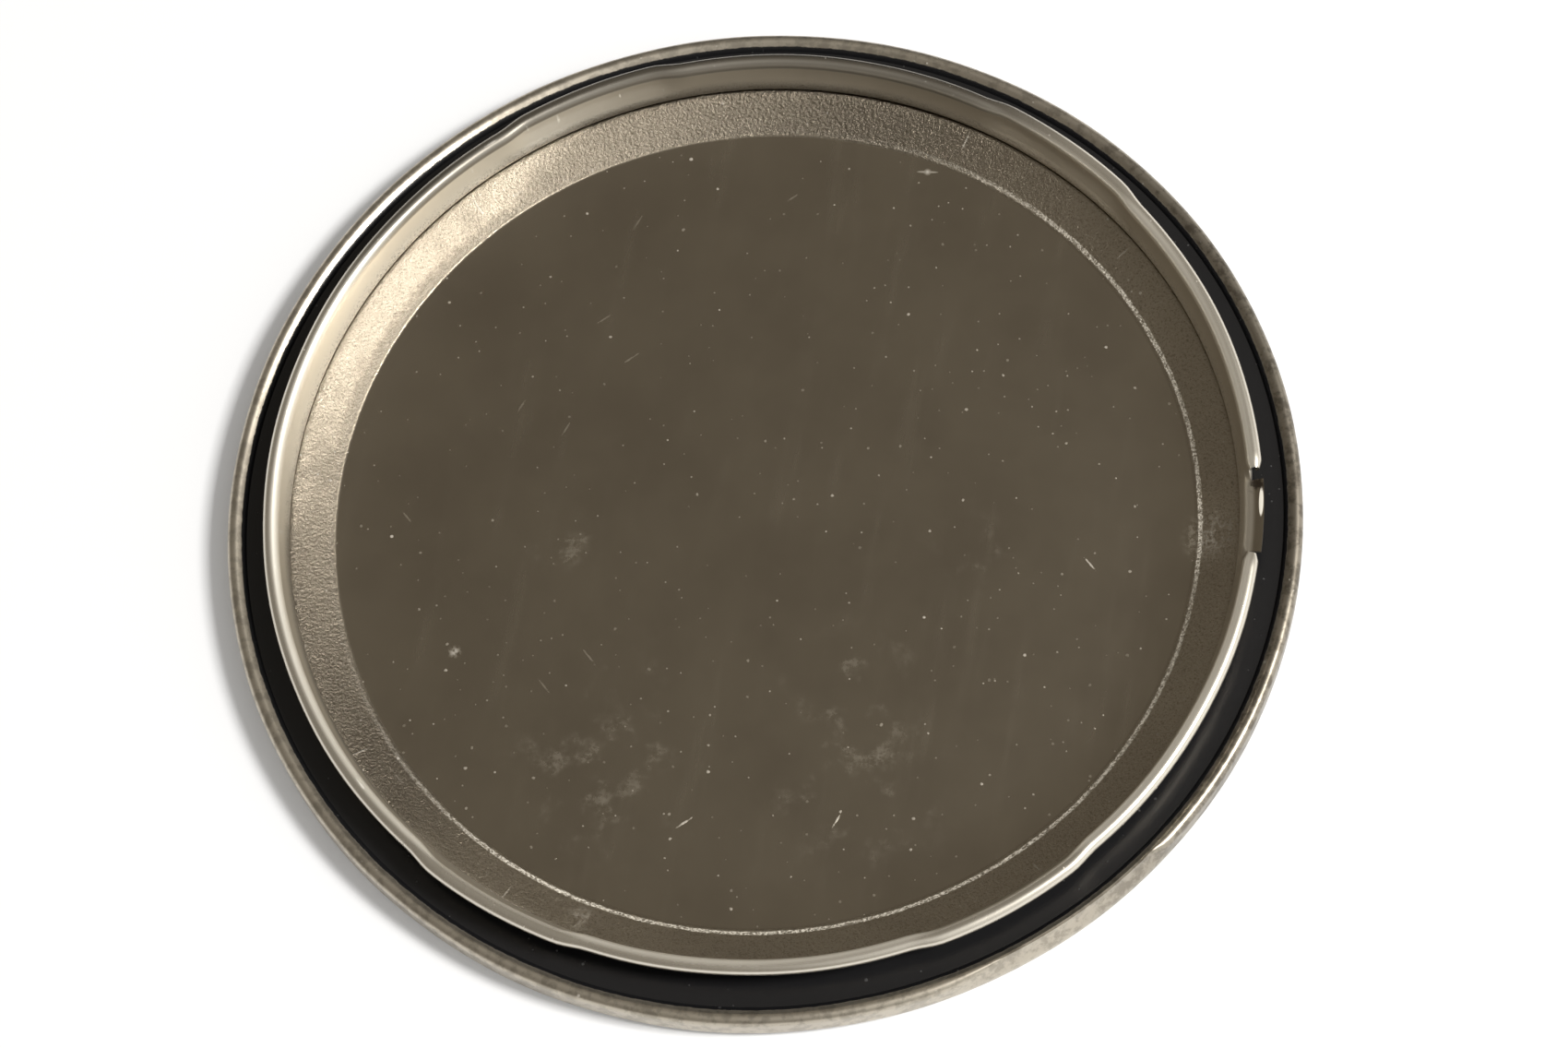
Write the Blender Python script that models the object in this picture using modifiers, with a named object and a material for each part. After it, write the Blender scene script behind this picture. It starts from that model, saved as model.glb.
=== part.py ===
"""Round shoe polish tin, open: the lid lies upside down in front of the tin.

The lid is one tinplate pressing with a hollow rim and a short plug skirt. The skirt fits inside the
tin's wall, and the rim covers the tin's top curl. A key on a rivet through the wall turns under the rim
and lifts the lid; a notch in the skirt clears the rivet's washer.

Units are metres, +Z is up and the surface that both halves stand on is z = 0. The origin is the middle
of the ground that they cover.
"""

import math

import bmesh
import bpy

# Sheet and general clearances
SHEET = 0.00025  # tinplate thickness
SEAT_GAP = 0.0003  # between pieces that touch
TURN_STEPS = 64  # facets round the large turned pieces
PIN_STEPS = 24  # facets round the rivet and its holes

# Tin body
BODY_INSIDE_RADIUS = 0.0327
BODY_HEIGHT = 0.0170
BODY_CURL_RADIUS = 0.0006  # outside radius of the rolled top edge
BODY_CORNER_RADIUS = 0.0012
BASE_BEAD_RADIUS = 0.0250  # stiffening bead pressed up into the base
BASE_BEAD_WIDTH = 0.0020
BASE_BEAD_HEIGHT = 0.0004

# Lid
LUG_PROUD = 0.0003  # the four gripping lugs stand this far out of the curl
LUG_CLEARANCE = 0.00007  # between lugs and the tin's wall
LUG_HALF_ANGLE = math.radians(10)
LUG_RAMP_ANGLE = math.radians(3)
LUG_ANGLES = [math.radians(a) for a in (54, 115, 242, 302)]  # from the notch
LID_CURL_RADIUS = 0.0005  # outside radius of the rolled free edge
SKIRT_DEPTH = 0.00254  # from the rim's seat to the free edge
SKIRT_LEAN = 0.00043  # how much wider the skirt is at its free edge
SLOPE_RUN = 0.0025
PANEL_RISE = 0.00131  # from the panel to the channel between panel and rim
FOLD_GAP = 0.00005  # between the two layers under the rim's seat
RIM_CLEARANCE = 0.0003  # between the tin's curl and the rim
RIM_WIDTH = 0.0008
RIM_CROWN = 0.0005  # the rim stands this far over its seat
RIM_LIFT = 0.00015  # the rim's back is this far above the panel's plane

# Opener
KEY_SHEET = 0.0006
KEY_LENGTH = 0.0120
KEY_HEIGHT = 0.0064
KEY_WING_DEPTH = 0.0060
KEY_BEND_RADIUS = 0.0008
KEY_CORNER_RADIUS = 0.0020
KEY_RIM_CLEARANCE = 0.0004  # between the key at rest and the closed lid's rim
KEY_SIDE_CLEARANCE = 0.0001  # the key stands this far outside the rim's inner edge
SHANK_RADIUS = 0.0009
HEAD_RADIUS = 0.0018
HEAD_THICKNESS = 0.0005
SHOULDER_RADIUS = 0.0020
WASHER_RADIUS = 0.0024
WASHER_THICKNESS = 0.0004
NOTCH_CLEARANCE = 0.0003  # above the washer, with the lid closed
NOTCH_SIDE_CLEARANCE = 0.0006

# Polish
POLISH_DISH = 0.0012  # depth worn in the middle
POLISH_DISH_RADIUS = 0.0220
POLISH_HEADROOM = 0.0006  # between the polish and the washer

# Where the halves lie
LID_DISTANCE = 0.0200  # clear ground between lid and tin

# Worked out from the sizes above
HALF_SHEET = SHEET / 2
BODY_OUTSIDE_RADIUS = BODY_INSIDE_RADIUS + SHEET
BODY_WALL_RADIUS = BODY_INSIDE_RADIUS + HALF_SHEET
BODY_CURL_CENTRE = BODY_WALL_RADIUS + BODY_CURL_RADIUS - HALF_SHEET
BODY_CURL_EDGE = BODY_CURL_CENTRE + BODY_CURL_RADIUS

LID_CURL_EDGE = BODY_INSIDE_RADIUS - LUG_CLEARANCE - LUG_PROUD
LID_CURL_CENTRE = LID_CURL_EDGE - LID_CURL_RADIUS
SKIRT_TOP_RADIUS = LID_CURL_CENTRE - LID_CURL_RADIUS + HALF_SHEET
SKIRT_FOOT_RADIUS = SKIRT_TOP_RADIUS - SKIRT_LEAN
SLOPE_TOP_RADIUS = SKIRT_FOOT_RADIUS - HALF_SHEET
PANEL_RADIUS = SLOPE_TOP_RADIUS - SLOPE_RUN
RIM_INSIDE_RADIUS = BODY_CURL_EDGE + RIM_CLEARANCE
LID_RADIUS = RIM_INSIDE_RADIUS + RIM_WIDTH

CHANNEL_Z = HALF_SHEET + PANEL_RISE  # lower of the two layers
SEAT_Z = CHANNEL_Z + SHEET + FOLD_GAP  # upper layer, which lies on the tin's curl
SEAT_FACE_Z = SEAT_Z + HALF_SHEET
LID_HEIGHT = SEAT_FACE_Z + SKIRT_DEPTH
LID_CURL_Z = LID_HEIGHT - LID_CURL_RADIUS

KEY_INNER_X = RIM_INSIDE_RADIUS + KEY_SIDE_CLEARANCE
KEY_REACH = KEY_INNER_X + KEY_WING_DEPTH
PIVOT_Z = BODY_HEIGHT - RIM_CROWN - KEY_RIM_CLEARANCE - KEY_HEIGHT / 2
HOLE_RADIUS = SHANK_RADIUS + SEAT_GAP
WASHER_OUTER_X = math.sqrt(BODY_INSIDE_RADIUS**2 - WASHER_RADIUS**2) - SEAT_GAP
WASHER_INNER_X = WASHER_OUTER_X - WASHER_THICKNESS
NOTCH_HALF_WIDTH = WASHER_RADIUS + NOTCH_SIDE_CLEARANCE
NOTCH_Z = SEAT_FACE_Z + BODY_HEIGHT - (PIVOT_Z + WASHER_RADIUS + NOTCH_CLEARANCE)

POLISH_RADIUS = BODY_INSIDE_RADIUS - SEAT_GAP
POLISH_BASE_Z = SHEET + BASE_BEAD_HEIGHT + SEAT_GAP
POLISH_TOP_Z = PIVOT_Z - WASHER_RADIUS - POLISH_HEADROOM

CENTRE_X = -(KEY_REACH - LID_RADIUS) / 2
LID_Y = -(LID_DISTANCE / 2 + BODY_CURL_EDGE)
TIN_Y = LID_DISTANCE / 2 + LID_RADIUS


def clear_scene():
    for obj in list(bpy.data.objects):
        bpy.data.objects.remove(obj, do_unlink=True)


def new_collection(name):
    collection = bpy.data.collections.new(name)
    bpy.context.scene.collection.children.link(collection)
    return collection


def new_material(name, color, roughness, metallic):
    material = bpy.data.materials.new(name)
    material.use_nodes = True
    shader = material.node_tree.nodes["Principled BSDF"]
    shader.inputs["Base Color"].default_value = (*color, 1.0)
    shader.inputs["Roughness"].default_value = roughness
    shader.inputs["Metallic"].default_value = metallic
    return material


def arc(centre_x, centre_z, radius, start, end, segments):
    """Points on an arc in the profile's plane; angles in degrees from +X towards +Z."""
    angles = [math.radians(start + (end - start) * i / segments) for i in range(segments + 1)]
    return [(centre_x + radius * math.cos(a), centre_z + radius * math.sin(a)) for a in angles]


def profile_object(name, points, collection, closed=False):
    """A chain of edges in the XZ plane, at +X."""
    last = len(points) if closed else len(points) - 1
    edges = [(i, (i + 1) % len(points)) for i in range(last)]
    mesh = bpy.data.meshes.new(name)
    mesh.from_pydata([(x, 0.0, z) for x, z in points], edges, [])
    obj = bpy.data.objects.new(name, mesh)
    collection.objects.link(obj)
    return obj


def add_screw(obj, steps):
    screw = obj.modifiers.new("turn", "SCREW")
    screw.angle = math.tau
    screw.steps = steps
    screw.render_steps = steps
    screw.use_merge_vertices = True
    screw.merge_threshold = 0.00001


def add_sheet(obj, thickness):
    """Gives an open surface its thickness, half to each side."""
    solidify = obj.modifiers.new("sheet", "SOLIDIFY")
    solidify.thickness = thickness
    solidify.offset = 0.0
    solidify.use_even_offset = True


def add_cut(obj, cutter):
    boolean = obj.modifiers.new("cut_" + cutter.name, "BOOLEAN")
    boolean.operation = "DIFFERENCE"
    boolean.solver = "EXACT"
    boolean.object = cutter


def as_cutter(obj):
    obj.hide_render = True
    obj.display_type = "WIRE"
    return obj


def with_applied_modifiers(obj, collection):
    """The object again, with its modifiers made part of its mesh."""
    depsgraph = bpy.context.evaluated_depsgraph_get()
    mesh = bpy.data.meshes.new_from_object(obj.evaluated_get(depsgraph), depsgraph=depsgraph)
    name = obj.name
    bpy.data.objects.remove(obj, do_unlink=True)
    applied = bpy.data.objects.new(name, mesh)
    collection.objects.link(applied)
    return applied


def cylinder_cutter(name, radius, low_x, high_x, y, z, collection):
    """A cylinder along X."""
    mesh = bpy.data.meshes.new(name)
    bm = bmesh.new()
    bmesh.ops.create_cone(
        bm, cap_ends=True, segments=PIN_STEPS, radius1=radius, radius2=radius, depth=high_x - low_x
    )
    bm.to_mesh(mesh)
    bm.free()
    obj = bpy.data.objects.new(name, mesh)
    obj.location = ((low_x + high_x) / 2, y, z)
    obj.rotation_euler = (0.0, math.pi / 2, 0.0)
    collection.objects.link(obj)
    return as_cutter(obj)


def box_cutter(name, low, high, collection):
    mesh = bpy.data.meshes.new(name)
    bm = bmesh.new()
    bmesh.ops.create_cube(bm, size=1.0)
    bmesh.ops.scale(bm, vec=[h - l for l, h in zip(low, high)], verts=bm.verts)
    bm.to_mesh(mesh)
    bm.free()
    obj = bpy.data.objects.new(name, mesh)
    obj.location = [(l + h) / 2 for l, h in zip(low, high)]
    collection.objects.link(obj)
    return as_cutter(obj)


def finish(obj, location, material):
    obj.location = location
    obj.data.materials.clear()
    obj.data.materials.append(material)
    obj.data.shade_smooth()
    obj.data.set_sharp_from_angle(angle=math.radians(30))


def lid_path():
    """Middle of the lid's sheet, from the centre of the panel to the end of the curl."""
    rim_wall_radius = LID_RADIUS - HALF_SHEET
    crown_radius = (RIM_WIDTH - SHEET) / 2
    crown_z = SEAT_FACE_Z + RIM_CROWN - HALF_SHEET - crown_radius
    back_radius = crown_radius + HALF_SHEET / 2
    back_z = RIM_LIFT + HALF_SHEET + back_radius
    crown_x = rim_wall_radius - crown_radius
    back_x = rim_wall_radius - back_radius
    seat_end = crown_x - crown_radius - HALF_SHEET
    fold_end = back_x - back_radius - PANEL_RISE / 2
    foot_radius = HALF_SHEET * 1.5
    path = [(0.0, HALF_SHEET), (PANEL_RADIUS, HALF_SHEET)]
    path += [(SLOPE_TOP_RADIUS, CHANNEL_Z), (fold_end, CHANNEL_Z)]
    path += arc(back_x, back_z, back_radius, 180, 360, 4)
    path += arc(crown_x, crown_z, crown_radius, 0, 180, 4)
    path += [(seat_end, SEAT_Z)]
    path += arc(SKIRT_FOOT_RADIUS + foot_radius, SEAT_Z + foot_radius, foot_radius, 270, 180, 2)
    path += arc(LID_CURL_CENTRE, LID_CURL_Z, LID_CURL_RADIUS - HALF_SHEET, 180, -70, 7)
    return path


def push_out_lugs(mesh):
    """Moves the curl outwards at the four lugs, and the skirt with it towards its foot."""
    for vertex in mesh.vertices:
        x, y, z = vertex.co
        radius = math.hypot(x, y)
        if z <= SEAT_Z or radius > LID_CURL_EDGE:
            continue
        height = min((z - SEAT_Z) / (LID_CURL_Z - LID_CURL_RADIUS - SEAT_Z), 1.0)
        for angle in LUG_ANGLES:
            away = abs((math.atan2(y, x) - angle + math.pi) % math.tau - math.pi)
            along = min(max((LUG_HALF_ANGLE - away) / LUG_RAMP_ANGLE, 0.0), 1.0)
            grown = 1.0 + LUG_PROUD * along * height / radius
            vertex.co.x *= grown
            vertex.co.y *= grown


def make_lid(parts, cutters, material):
    """The lid, upside down on its panel, its notch towards +X."""
    lid = profile_object("tin_lid", lid_path(), parts)
    add_screw(lid, TURN_STEPS)
    lid = with_applied_modifiers(lid, parts)
    push_out_lugs(lid.data)
    add_sheet(lid, SHEET)
    notch = box_cutter(
        "lid_notch",
        (CENTRE_X + SLOPE_TOP_RADIUS - SHEET, LID_Y - NOTCH_HALF_WIDTH, NOTCH_Z),
        (CENTRE_X + LID_RADIUS, LID_Y + NOTCH_HALF_WIDTH, LID_HEIGHT + LID_CURL_RADIUS),
        cutters,
    )
    add_cut(lid, notch)
    finish(lid, (CENTRE_X, LID_Y, 0.0), material)


def body_path():
    """Middle of the body's sheet, from the centre of the base to the end of the curl."""
    bead_in = BASE_BEAD_RADIUS - BASE_BEAD_WIDTH / 2
    bead_out = BASE_BEAD_RADIUS + BASE_BEAD_WIDTH / 2
    bead_z = HALF_SHEET + BASE_BEAD_HEIGHT
    path = [(0.0, HALF_SHEET), (bead_in, HALF_SHEET), (bead_in + BASE_BEAD_HEIGHT, bead_z)]
    path += [(bead_out - BASE_BEAD_HEIGHT, bead_z), (bead_out, HALF_SHEET)]
    path += arc(
        BODY_WALL_RADIUS - BODY_CORNER_RADIUS,
        HALF_SHEET + BODY_CORNER_RADIUS,
        BODY_CORNER_RADIUS,
        270,
        360,
        3,
    )
    path += arc(
        BODY_CURL_CENTRE,
        BODY_HEIGHT - BODY_CURL_RADIUS,
        BODY_CURL_RADIUS - HALF_SHEET,
        180,
        -70,
        7,
    )
    return path


def make_body(parts, cutters, material):
    body = profile_object("tin_body", body_path(), parts)
    add_screw(body, TURN_STEPS)
    add_sheet(body, SHEET)
    hole = cylinder_cutter(
        "rivet_hole",
        HOLE_RADIUS,
        CENTRE_X + BODY_INSIDE_RADIUS - 4 * SHEET,
        CENTRE_X + BODY_OUTSIDE_RADIUS + 4 * SHEET,
        TIN_Y,
        PIVOT_Z,
        cutters,
    )
    add_cut(body, hole)
    finish(body, (CENTRE_X, TIN_Y, 0.0), material)


def make_polish(parts, material):
    """A cake that fills the tin to below the washer, worn to a shallow dish in the middle."""
    edge = BODY_CORNER_RADIUS
    profile = [
        (POLISH_DISH_RADIUS * i / 4, POLISH_TOP_Z - POLISH_DISH * math.cos(math.pi * i / 8) ** 2)
        for i in range(5)
    ]
    profile += [
        (POLISH_RADIUS - SEAT_GAP, POLISH_TOP_Z),
        (POLISH_RADIUS, POLISH_TOP_Z - SEAT_GAP),
        (POLISH_RADIUS, POLISH_BASE_Z + edge),
        (POLISH_RADIUS - edge, POLISH_BASE_Z),
        (0.0, POLISH_BASE_Z),
    ]
    polish = profile_object("polish", profile, parts)
    add_screw(polish, TURN_STEPS)
    finish(polish, (CENTRE_X, TIN_Y, 0.0), material)


def key_strip():
    """Middle of the key's strip as (outward, sideways, half height), from wing tip to wing tip."""
    half_sheet = KEY_SHEET / 2
    tip = KEY_WING_DEPTH - half_sheet
    side = KEY_LENGTH / 2 - half_sheet
    bend = KEY_BEND_RADIUS
    half_height = KEY_HEIGHT / 2
    wing = []
    for i in range(4):
        a = math.radians(90 * i / 3)
        rounded = half_height - KEY_CORNER_RADIUS * (1 - math.sin(a))
        wing.append((tip - KEY_CORNER_RADIUS * (1 - math.cos(a)), side, rounded))
    wing += [(x, y, half_height) for x, y in arc(bend, side - bend, bend, 90, 180, 3)]
    return wing + [(x, -y, height) for x, y, height in reversed(wing)]


def make_key(parts, cutters, material):
    """A folded strip; its origin is on the rivet's axis, in the middle of the plate's thickness."""
    strip = key_strip()
    mesh = bpy.data.meshes.new("opener_key")
    bm = bmesh.new()
    bmesh.ops.create_grid(bm, x_segments=len(strip) - 1, y_segments=1, size=1.0)
    columns = sorted(bm.verts, key=lambda vertex: vertex.co.x)
    for number, vertex in enumerate(columns):
        x, y, half_height = strip[number // 2]
        vertex.co = (x, y, math.copysign(half_height, vertex.co.y))
    bm.to_mesh(mesh)
    bm.free()
    key = bpy.data.objects.new("opener_key", mesh)
    parts.objects.link(key)
    add_sheet(key, KEY_SHEET)
    plate_x = CENTRE_X + KEY_INNER_X + KEY_SHEET / 2
    hole = cylinder_cutter(
        "key_hole", HOLE_RADIUS, plate_x - KEY_SHEET, plate_x + KEY_SHEET, TIN_Y, PIVOT_Z, cutters
    )
    add_cut(key, hole)
    finish(key, (plate_x, TIN_Y, PIVOT_Z), material)


def make_rivet(parts, material):
    """Turned about the key's axis: inner head, shank, shoulder under the key and domed outer head."""
    inner_head = WASHER_INNER_X - SEAT_GAP
    shoulder_start = BODY_OUTSIDE_RADIUS + SEAT_GAP
    shoulder_end = KEY_INNER_X - SEAT_GAP
    outer_head = KEY_INNER_X + KEY_SHEET + SEAT_GAP
    profile = [
        (0.0, outer_head + HEAD_THICKNESS),
        (HEAD_RADIUS * 0.6, outer_head + HEAD_THICKNESS * 0.8),
        (HEAD_RADIUS, outer_head + HEAD_THICKNESS * 0.3),
        (HEAD_RADIUS, outer_head),
        (SHANK_RADIUS, outer_head),
        (SHANK_RADIUS, shoulder_end),
        (SHOULDER_RADIUS, shoulder_end),
        (SHOULDER_RADIUS, shoulder_start),
        (SHANK_RADIUS, shoulder_start),
        (SHANK_RADIUS, inner_head),
        (HEAD_RADIUS, inner_head),
        (HEAD_RADIUS, inner_head - HEAD_THICKNESS),
        (0.0, inner_head - HEAD_THICKNESS),
    ]
    rivet = profile_object("opener_rivet", profile, parts)
    add_screw(rivet, PIN_STEPS)
    finish(rivet, (CENTRE_X, TIN_Y, PIVOT_Z), material)
    rivet.rotation_euler = (0.0, math.pi / 2, 0.0)


def make_washer(parts, material):
    profile = [
        (HOLE_RADIUS, WASHER_OUTER_X),
        (WASHER_RADIUS, WASHER_OUTER_X),
        (WASHER_RADIUS, WASHER_INNER_X),
        (HOLE_RADIUS, WASHER_INNER_X),
    ]
    washer = profile_object("opener_washer", profile, parts, closed=True)
    add_screw(washer, PIN_STEPS)
    finish(washer, (CENTRE_X, TIN_Y, PIVOT_Z), material)
    washer.rotation_euler = (0.0, math.pi / 2, 0.0)


def build():
    clear_scene()
    parts = new_collection("shoe_polish_tin")
    cutters = new_collection("cutters")
    tinplate = new_material("bare_tinplate", (0.30, 0.27, 0.22), 0.35, 1.0)
    lacquer = new_material("black_lacquer", (0.012, 0.012, 0.014), 0.25, 0.0)
    wax = new_material("black_wax", (0.010, 0.009, 0.009), 0.45, 0.0)
    steel = new_material("plated_steel", (0.55, 0.54, 0.52), 0.30, 1.0)
    make_lid(parts, cutters, tinplate)
    make_body(parts, cutters, lacquer)
    make_polish(parts, wax)
    make_key(parts, cutters, steel)
    make_rivet(parts, steel)
    make_washer(parts, steel)


build()
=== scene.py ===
"""Finishes and fine surfaces of the shoe polish tin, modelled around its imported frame."""

import logging
import math
from dataclasses import dataclass, field
from enum import Enum
from typing import Any, Callable, Union

import bpy
from mathutils import Matrix, Vector

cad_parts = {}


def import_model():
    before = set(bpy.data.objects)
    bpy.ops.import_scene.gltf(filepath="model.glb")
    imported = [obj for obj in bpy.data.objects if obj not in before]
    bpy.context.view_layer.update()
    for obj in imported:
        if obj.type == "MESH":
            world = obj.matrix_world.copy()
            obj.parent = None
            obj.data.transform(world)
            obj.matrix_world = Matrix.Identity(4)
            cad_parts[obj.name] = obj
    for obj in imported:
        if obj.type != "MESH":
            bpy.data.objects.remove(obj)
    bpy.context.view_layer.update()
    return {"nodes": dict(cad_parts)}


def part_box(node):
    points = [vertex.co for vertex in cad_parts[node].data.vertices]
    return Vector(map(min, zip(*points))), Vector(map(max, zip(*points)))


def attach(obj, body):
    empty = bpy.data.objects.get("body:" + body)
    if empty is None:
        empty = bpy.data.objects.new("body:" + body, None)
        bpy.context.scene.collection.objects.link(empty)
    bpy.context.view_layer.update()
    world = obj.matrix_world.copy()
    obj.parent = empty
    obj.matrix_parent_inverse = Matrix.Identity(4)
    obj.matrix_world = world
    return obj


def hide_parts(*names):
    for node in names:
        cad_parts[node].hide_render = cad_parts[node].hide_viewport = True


LOG = logging.getLogger("shoe_polish_tin")
MM = 0.001
Number = Union[int, float, "Value"]
Point = tuple[float, float]


class Side(Enum):
    """Which face of a pressed sheet an attribute marks."""

    INSIDE = 0.0
    OUTSIDE = 1.0


class Value:
    """A number that varies over a surface, as an expression of shader sockets."""

    def __init__(self, tree: "Finish", socket: bpy.types.NodeSocket) -> None:
        """Wraps a socket of a node tree."""
        self.tree = tree
        self.socket = socket

    def math(self, operation: str, *others: Number, clamp: bool = False) -> "Value":
        """Adds one Math node.

        Args:
            operation: the node's operation.
            others: what goes in its further sockets.
            clamp: whether the result is kept between 0 and 1.

        Returns:
            The node's result.
        """
        settings = {"operation": operation, "use_clamp": clamp}
        inputs = {number: other for number, other in enumerate((self, *others))}
        return self.tree.value("ShaderNodeMath", settings, inputs)

    def __add__(self, other: Number) -> "Value":
        """Sum."""
        return self.math("ADD", other)

    def __radd__(self, other: Number) -> "Value":
        """Sum, with a number first."""
        return self.math("ADD", other)

    def __sub__(self, other: Number) -> "Value":
        """Difference."""
        return self.math("SUBTRACT", other)

    def __rsub__(self, other: Number) -> "Value":
        """Difference, with a number first."""
        return self.tree.value("ShaderNodeMath", {"operation": "SUBTRACT"}, {0: other, 1: self})

    def __mul__(self, other: Number) -> "Value":
        """Product."""
        return self.math("MULTIPLY", other)

    def __rmul__(self, other: Number) -> "Value":
        """Product, with a number first."""
        return self.math("MULTIPLY", other)

    def __truediv__(self, other: Number) -> "Value":
        """Quotient."""
        return self.math("DIVIDE", other)

    def step(self, low: float, high: float) -> "Value":
        """A smooth step from 0 at low to 1 at high; it falls where low is the larger.

        Args:
            low: where the step is 0.
            high: where the step is 1.

        Returns:
            The step.
        """
        start, end = (low, high) if low < high else (high, low)
        ends = (0.0, 1.0) if low < high else (1.0, 0.0)
        settings = {"interpolation_type": "SMOOTHSTEP", "clamp": True}
        return self.tree.value(
            "ShaderNodeMapRange", settings, {0: self, 1: start, 2: end, 3: ends[0], 4: ends[1]}
        )

    def band(self, low: float, high: float, soft: float) -> "Value":
        """1 between low and high, falling to 0 over soft on both sides."""
        return self.step(low - soft, low) * self.step(high + soft, high)

    def most(self, other: Number) -> "Value":
        """The larger of two values."""
        return self.math("MAXIMUM", other)


class Finish:
    """A node material under construction, with its patterns measured in millimetres."""

    def __init__(self, name: str, centre: Vector) -> None:
        """Starts a material.

        Args:
            name: the material's name.
            centre: the place on the object that the patterns are centred on, in metres.
        """
        self.material = bpy.data.materials.new(name)
        self.material.use_nodes = True
        self.nodes = self.material.node_tree.nodes
        self.links = self.material.node_tree.links
        self.shader = self.nodes["Principled BSDF"]
        coordinates = self.node("ShaderNodeTexCoord", {}, {})
        mapping = self.node(
            "ShaderNodeMapping",
            {"vector_type": "TEXTURE"},
            {0: coordinates.outputs["Object"], 1: tuple(centre), 3: (MM, MM, MM)},
        )
        self.place = mapping.outputs[0]
        parts = self.node("ShaderNodeSeparateXYZ", {}, {0: self.place})
        self.x, self.y, self.z = (Value(self, parts.outputs[i]) for i in range(3))

    def node(
        self, kind: str, settings: dict[str, Any], inputs: dict[Any, Any]
    ) -> bpy.types.ShaderNode:
        """Adds a node.

        Args:
            kind: the node's type.
            settings: its properties, which are set first.
            inputs: a number, colour, socket or Value for each named or numbered socket.

        Returns:
            The node.
        """
        node = self.nodes.new(kind)
        for name, setting in settings.items():
            setattr(node, name, setting)
        for key, given in inputs.items():
            source = given.socket if isinstance(given, Value) else given
            if isinstance(source, bpy.types.NodeSocket):
                self.links.new(source, node.inputs[key])
            else:
                node.inputs[key].default_value = source
        return node

    def value(self, kind: str, settings: dict[str, Any], inputs: dict[Any, Any]) -> Value:
        """Adds a node and wraps its first output."""
        return Value(self, self.node(kind, settings, inputs).outputs[0])

    def radius(self) -> Value:
        """Distance from the axis through the centre."""
        return (self.x * self.x + self.y * self.y).math("SQRT")

    def angle(self) -> Value:
        """Angle round the axis in radians, from +X."""
        return self.y.math("ARCTAN2", self.x)

    def attribute(self, name: str) -> Value:
        """A number stored on the mesh."""
        node = self.node("ShaderNodeAttribute", {"attribute_name": name}, {})
        return Value(self, node.outputs["Fac"])

    def noise(
        self, size: float, detail: float = 2.0, rough: float = 0.5, at: Any = None
    ) -> Value:
        """Soft noise between 0 and 1.

        Args:
            size: the size of its largest features, in millimetres.
            detail: how many finer layers it has.
            rough: how strong those are.
            at: the coordinates, where they aren't the object's.

        Returns:
            The noise.
        """
        place = self.place if at is None else at
        inputs = {"Vector": place, "Scale": 1.0 / size, "Detail": detail, "Roughness": rough}
        return self.value("ShaderNodeTexNoise", {}, inputs)

    def wrapped(self, radius: float) -> Any:
        """Coordinates that run round a wall of a given radius, then up it."""
        inputs = {0: self.angle() * radius, 1: self.z}
        return self.node("ShaderNodeCombineXYZ", {}, inputs).outputs[0]

    def turned(
        self, angle: float, stretch: tuple[float, float, float], at: Any = None
    ) -> Any:
        """Coordinates turned in their own plane and divided by a stretch on each axis."""
        place = self.place if at is None else at
        return self.node(
            "ShaderNodeMapping",
            {"vector_type": "TEXTURE"},
            {0: place, 2: (0.0, 0.0, math.radians(angle)), 3: stretch},
        ).outputs[0]

    def flecks(self, at: Any, share: float, size: float) -> Value:
        """Separate marks, one in some cells of a Voronoi pattern.

        Args:
            at: the coordinates, whose unit is one cell.
            share: the share of the cells that hold a mark.
            size: the mark's size as a share of its cell.

        Returns:
            1 on a mark and 0 off it.
        """
        settings = {"voronoi_dimensions": "2D"}
        cells = self.node("ShaderNodeTexVoronoi", settings, {"Vector": at, "Scale": 1.0})
        ragged = (self.noise(0.3, 3.0, 0.7) - 0.5) * (size * 2.0)
        near = (Value(self, cells.outputs["Distance"]) + ragged).step(size, size * 0.4)
        pick = self.node("ShaderNodeSeparateColor", {}, {0: cells.outputs["Color"]})
        chosen = Value(self, pick.outputs[0]).math("GREATER_THAN", 1.0 - share)
        strength = Value(self, pick.outputs[1]).math("POWER", 2.0) * 0.8 + 0.2
        return near * chosen * strength

    def spot(self, x: float, y: float, radius: float, soft: float) -> Value:
        """A soft round patch at a place on the object."""
        away = ((self.x - x).math("POWER", 2.0) + (self.y - y).math("POWER", 2.0)).math("SQRT")
        return away.step(radius + soft, max(radius - soft, 0.0))

    def oval(self, x: float, y: float, half_x: float, half_y: float) -> Value:
        """A soft oval patch with the given half axes."""
        across = ((self.x - x) * (1.0 / half_x)).math("POWER", 2.0)
        along = ((self.y - y) * (1.0 / half_y)).math("POWER", 2.0)
        return (across + along).step(1.3, 0.7)

    def mix(self, share: Number, first: Any, second: Any) -> Any:
        """A colour between two others."""
        node = self.nodes.new("ShaderNodeMix")
        node.data_type = "RGBA"
        for key, given in ((0, share), (6, first), (7, second)):
            source = given.socket if isinstance(given, Value) else given
            if isinstance(source, bpy.types.NodeSocket):
                self.links.new(source, node.inputs[key])
            else:
                node.inputs[key].default_value = (*source, 1.0) if key > 0 else source
        return node.outputs[2]

    def set(self, **inputs: Any) -> None:
        """Fills sockets of the shader, named with underscores for spaces."""
        for key, given in inputs.items():
            socket = self.shader.inputs[key.replace("_", " ")]
            source = given.socket if isinstance(given, Value) else given
            if isinstance(source, bpy.types.NodeSocket):
                self.links.new(source, socket)
            else:
                socket.default_value = source

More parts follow.
